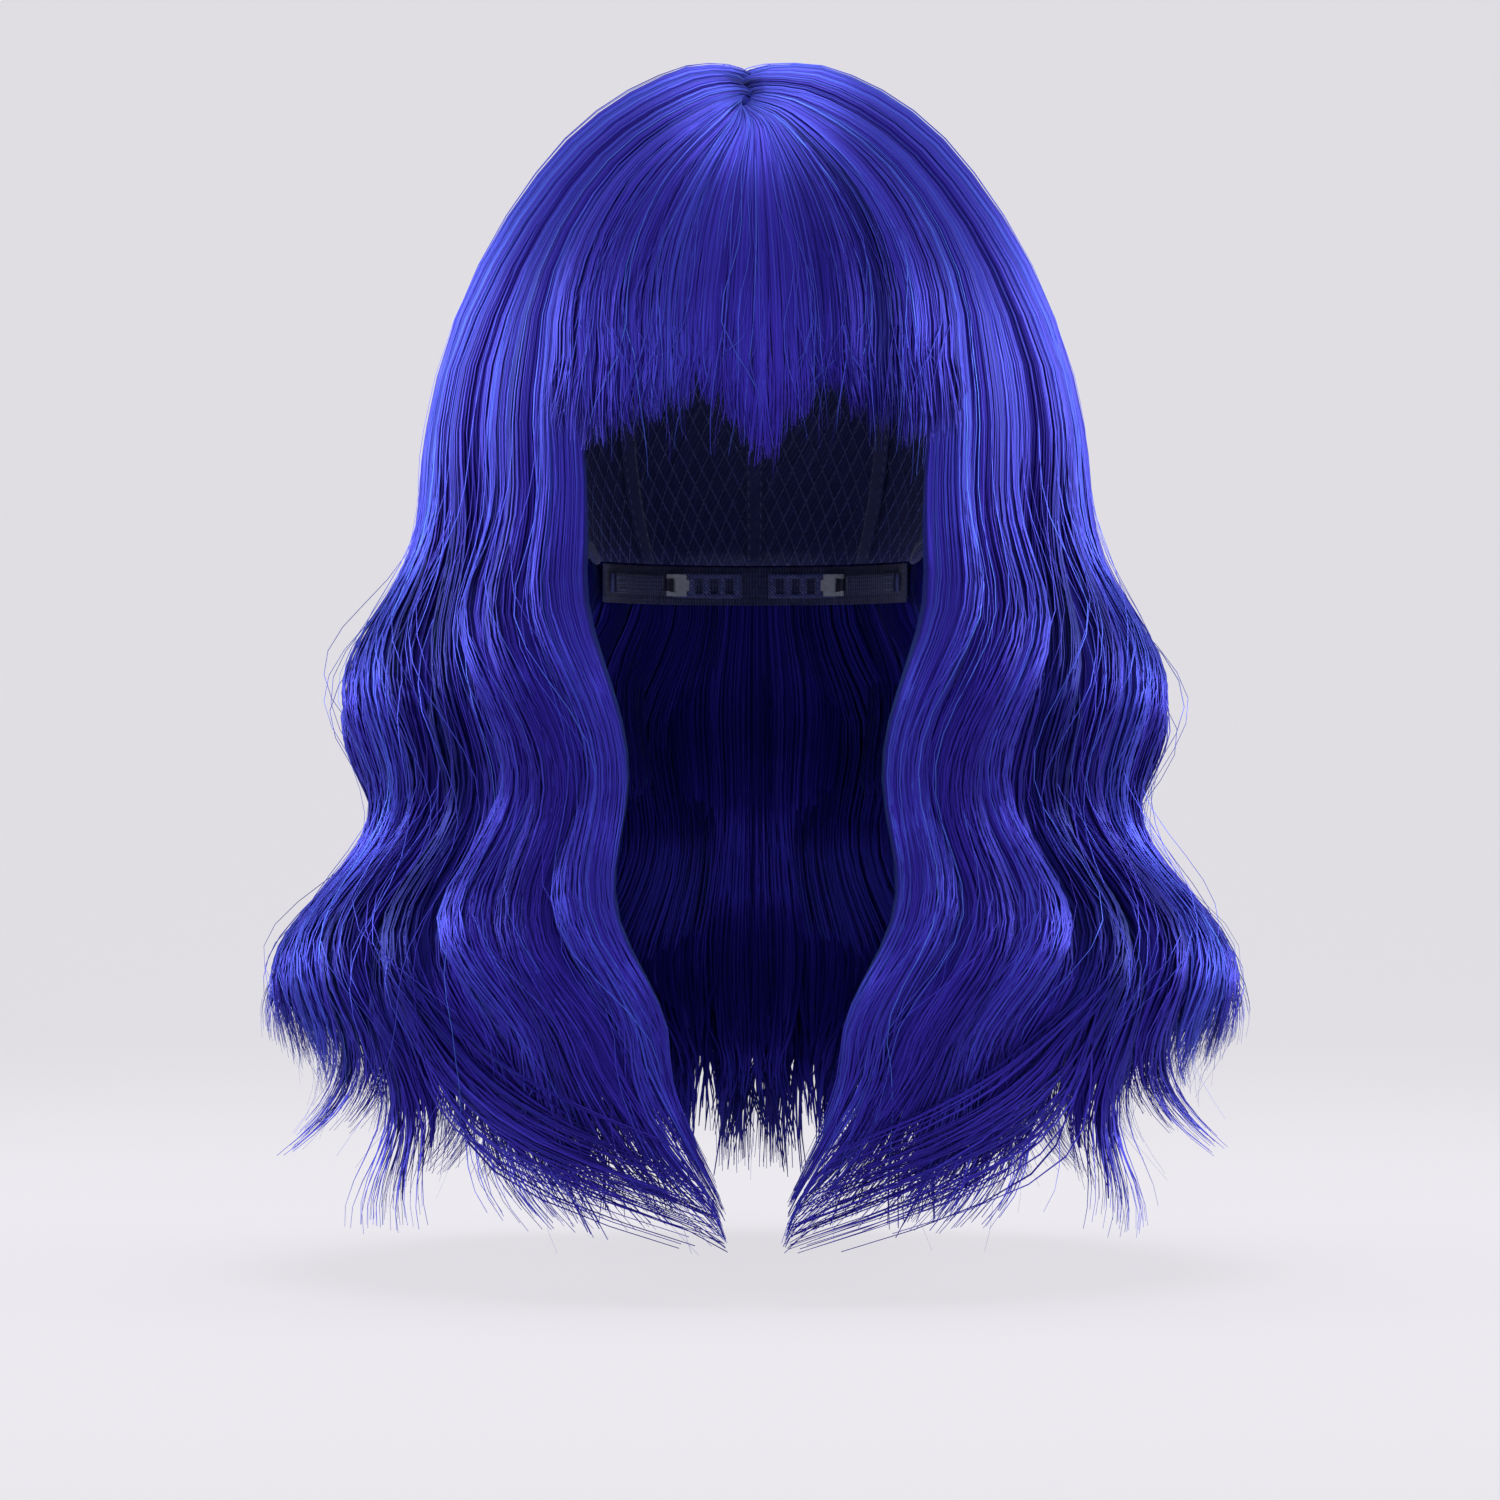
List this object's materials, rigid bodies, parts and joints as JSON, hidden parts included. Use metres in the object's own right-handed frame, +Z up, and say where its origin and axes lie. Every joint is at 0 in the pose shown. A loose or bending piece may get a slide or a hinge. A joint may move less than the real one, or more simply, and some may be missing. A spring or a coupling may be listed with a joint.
{
  "type": "costume wig",
  "caption": "Wavy bob costume wig with a full fringe and a centre parting, in blue fibre sewn on a net cap with elastic nape adjusters.",
  "frame": {"origin": "centre of the wearer's head at the brow line", "axes": "+Z up, the face towards -Y, +X to the wearer's left"},
  "size_m": [0.335, 0.2505, 0.3949],
  "materials": {
    "fibre": "glossy synthetic fibre",
    "under_fibre": "synthetic fibre in shade",
    "net": "open net",
    "binding": "woven tape",
    "elastic": "ribbed elastic",
    "weft": "sewn tape",
    "patch": "smooth soft patch",
    "hook": "moulded",
    "stay": "bare strip"
  },
  "bodies": {
    "cap": {"crown_net": "net", "parting_patch": "patch", "front_band": "binding", "ear_tab_left": "binding", "ear_tab_right": "binding", "ear_stay_left": "stay", "ear_stay_right": "stay", "side_band_left": "binding", "side_band_right": "binding", "nape_band": "elastic", "rib_middle": "elastic", "rib_left": "elastic", "rib_right": "elastic", "pocket_tape_left": "binding", "pocket_tape_right": "binding", "strap_anchor_left": "binding", "strap_anchor_right": "binding", "adjuster_strap_left": "elastic", "adjuster_strap_right": "elastic", "weft_track_1": "weft", "weft_track_2": "weft", "weft_track_3": "weft", "weft_track_4": "weft", "weft_track_5": "weft", "weft_track_6": "weft", "weft_track_7": "weft", "fringe_middle": "fibre", "fringe_inner_left": "fibre", "fringe_inner_right": "fibre", "fringe_outer_left": "fibre", "fringe_outer_right": "fibre", "front_lock_left": "fibre", "front_lock_right": "fibre", "cheek_lock_left": "fibre", "cheek_lock_right": "fibre", "side_lock_left": "fibre", "side_lock_right": "fibre", "rear_lock_left": "fibre", "rear_lock_right": "fibre", "back_lock_left": "fibre", "back_lock_right": "fibre", "spine_lock_left": "fibre", "spine_lock_right": "fibre", "under_side_left": "under_fibre", "under_side_right": "under_fibre", "under_rear_left": "under_fibre", "under_rear_right": "under_fibre", "under_back_left": "under_fibre", "under_back_right": "under_fibre", "under_spine_left": "under_fibre", "under_spine_right": "under_fibre", "nape_side_left": "under_fibre", "nape_side_right": "under_fibre", "nape_spine_left": "under_fibre", "nape_spine_right": "under_fibre"},
    "left_strap_end": {"strap_loop_left": "elastic"},
    "right_strap_end": {"strap_loop_right": "elastic"},
    "left_hook": {"adjuster_hook_left": "hook"},
    "right_hook": {"adjuster_hook_right": "hook"}
  },
  "joints": [
    {"name": "left_strap_pull", "type": "hinge", "parent": "cap", "child": "left_strap_end", "pos_m": [0, 0.0275, -0.0696], "axis": [0, 0, 1], "range_deg": [0, 18], "deforming": ["adjuster_strap_left"]},
    {"name": "left_hook_tilt", "type": "hinge", "parent": "left_strap_end", "child": "left_hook", "pos_m": [0.03186, 0.07135, -0.0696], "axis": [0, 0, 1], "range_deg": [-8, 100]},
    {"name": "right_strap_pull", "type": "hinge", "parent": "cap", "child": "right_strap_end", "pos_m": [0, 0.0275, -0.0696], "axis": [0, 0, -1], "range_deg": [0, 18], "deforming": ["adjuster_strap_right"]},
    {"name": "right_hook_tilt", "type": "hinge", "parent": "right_strap_end", "child": "right_hook", "pos_m": [-0.03186, 0.07135, -0.0696], "axis": [0, 0, -1], "range_deg": [-8, 100]}
  ]
}
